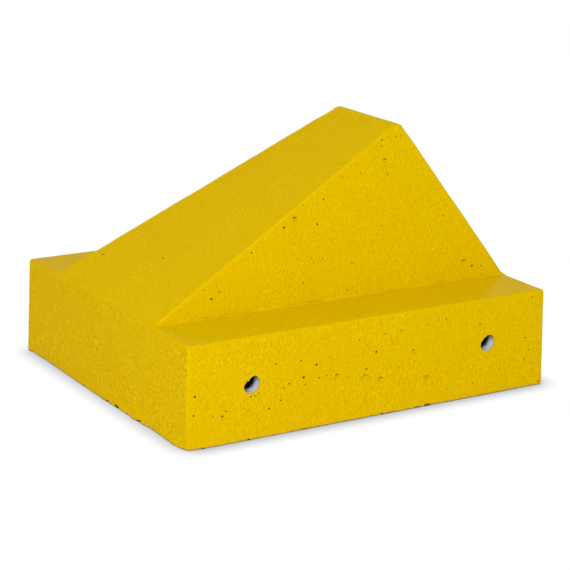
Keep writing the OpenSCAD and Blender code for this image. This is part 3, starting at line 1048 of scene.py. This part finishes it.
# %% Steel finishes
def make_steel(name, clean, rusted, blotch, rust_share, roughness):
    material, tree = start_material(name)
    place = add_node(tree, "TexCoord").outputs["Object"]
    spots = add_node(
        tree, "TexNoise", {"Vector": place, "Scale": 1 / blotch, "Detail": 4.0, "Roughness": 0.65}
    )
    rust_from = 0.62 - rust_share * 0.4
    rust = add_node(tree, "MapRange", {"Value": spots, "From Min": rust_from, "From Max": rust_from + 0.1})
    colour = add_node(tree, "Mix", {"Factor": rust, 6: linear(clean), 7: linear(rusted)}, data_type="RGBA")
    metal = add_node(tree, "Math", {0: 1.0, 1: rust}, operation="SUBTRACT")
    dull = add_node(tree, "MapRange", {"Value": rust, "To Min": roughness, "To Max": 0.9})
    scale = add_node(tree, "Bump", {"Strength": 0.4, "Distance": 0.15 * MM, "Height": spots})
    shader = add_node(
        tree, "BsdfPrincipled", {"Base Color": colour, "Metallic": metal, "Roughness": dull, "Normal": scale}
    )
    add_node(tree, "OutputMaterial", {"Surface": shader})
    return material


mill_steel = make_steel("hot-rolled bar with mill scale and rust", "#6f7276", "#7a4a2c", 6 * MM, 0.5, 0.5)
annealed_wire = make_steel("black annealed tie wire", "#3f3d3c", "#5e4331", 3 * MM, 0.2, 0.4)
for name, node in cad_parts.items():
    if name.endswith("_bar"):
        node.material_slots[0].material = mill_steel
    elif name == "tie_wires":
        node.material_slots[0].material = annealed_wire
print("made", mill_steel.name, "and", annealed_wire.name)

# %% [markdown]
# ## Floor
# The object stands on a white paper sweep. For all light that bounces, the paper is a plain white surface.
# The camera sees it as pure white, dimmed only where the block closes off part of the sky within a few
# centimetres, which leaves the tight soft shadow of a block on paper. That sky leans to the left, from
# where most light comes, so the shadow is narrower there.

# %% White sweep
def seen_directly(tree):
    """1 for rays from the camera, a mirror or clear glass, and 0 for those that only carry light."""
    rays = add_node(tree, "LightPath").outputs
    mirrored = add_node(
        tree, "Math", {0: rays["Is Glossy Ray"], 1: rays["Is Transmission Ray"]}, operation="MAXIMUM"
    )
    return add_node(tree, "Math", {0: rays["Is Camera Ray"], 1: mirrored}, operation="MAXIMUM")


def make_sweep_paper():
    material, tree = start_material("white sweep paper")
    lit = add_node(tree, "BsdfDiffuse", {"Color": linear("#f4f4f4")})
    lit_side = add_node(tree, "CombineXYZ", {"X": -0.15, "Z": 0.99})
    sky = add_node(tree, "AmbientOcclusion", {"Distance": 27 * MM, "Normal": lit_side}, samples=24)
    white = add_node(tree, "MapRange", {"Value": sky.outputs["AO"], "To Min": 0.1, "To Max": 1.01})
    paper = add_node(tree, "Emission", {"Color": linear("#ffffff"), "Strength": white})
    shader = add_node(tree, "MixShader", {0: seen_directly(tree), 1: lit, 2: paper})
    add_node(tree, "OutputMaterial", {"Surface": shader})
    return material


sweep_radius = 9.0
sweep = bmesh.new()
bmesh.ops.create_circle(sweep, cap_ends=True, segments=96, radius=sweep_radius)
floor = object_from(sweep, "sweep", make_sweep_paper())
print("sweep with a radius of", sweep_radius, "m")

# %% [markdown]
# ## Light
# The light is plain: a white room, and one soft box in front on the left that gives the upright corner its
# bright line and lights the mouths of the holes from the upper left. Seen directly, the room is pure white,
# like the paper.

# %% Room and soft box
scene = bpy.context.scene
room = bpy.data.worlds.new("white room")
room.use_nodes = True
room.node_tree.nodes.clear()
room_level = 0.568
seen = seen_directly(room.node_tree)
level = add_node(room.node_tree, "MapRange", {"Value": seen, "To Min": room_level, "To Max": 1.0})
sky = add_node(room.node_tree, "Background", {"Color": linear("#ffffff"), "Strength": level})
add_node(room.node_tree, "OutputWorld", {"Surface": sky})
scene.world = room

box_place = Vector((-1.41, -2.06, 1.5))
box_aim = Vector((0, 0, 0.12))
box_light = bpy.data.lights.new("soft_box", "AREA")
box_light.shape = "SQUARE"
box_light.size = 0.7
box_light.energy = 39.3
soft_box = bpy.data.objects.new("soft_box", box_light)
soft_box.location = box_place
soft_box.rotation_euler = (box_place - box_aim).to_track_quat("Z", "Y").to_euler()
scene.collection.objects.link(soft_box)
print("soft box at", [round(v, 2) for v in box_place])

# %% [markdown]
# ## Camera
# The camera looks at the front and the left end from a little above. It is given by its direction, roll and
# distance, by its focal length in pixels of a square picture, and by how far the middle of the foot lies
# beside its axis.

# %% Camera
azimuth, elevation, roll = radians(-32.230), radians(15.826), radians(1.406)
distance, focal_pixels, image_pixels = 2.3147, 1925.9, 570
shift_right, shift_up = -0.00582, -0.09814
back = Vector((sin(azimuth) * cos(elevation), -cos(azimuth) * cos(elevation), sin(elevation)))
level_right = Vector((cos(azimuth), sin(azimuth), 0))
level_up = back.cross(level_right)
right = level_right * cos(roll) + level_up * sin(roll)
up = level_up * cos(roll) - level_right * sin(roll)
lens = bpy.data.cameras.new("camera")
lens.sensor_width = 36
lens.lens = lens.sensor_width * focal_pixels / image_pixels
lens.clip_end = 50
camera = bpy.data.objects.new("camera", lens)
spot = back * distance - right * shift_right - up * shift_up
turn = Matrix((right, up, back)).transposed().to_4x4()
camera.matrix_world = Matrix.Translation(spot) @ turn
scene.collection.objects.link(camera)
scene.camera = camera
scene.view_settings.view_transform = "Standard"
print("camera at", [round(v, 3) for v in spot], "with a lens of", round(lens.lens, 1), "mm")
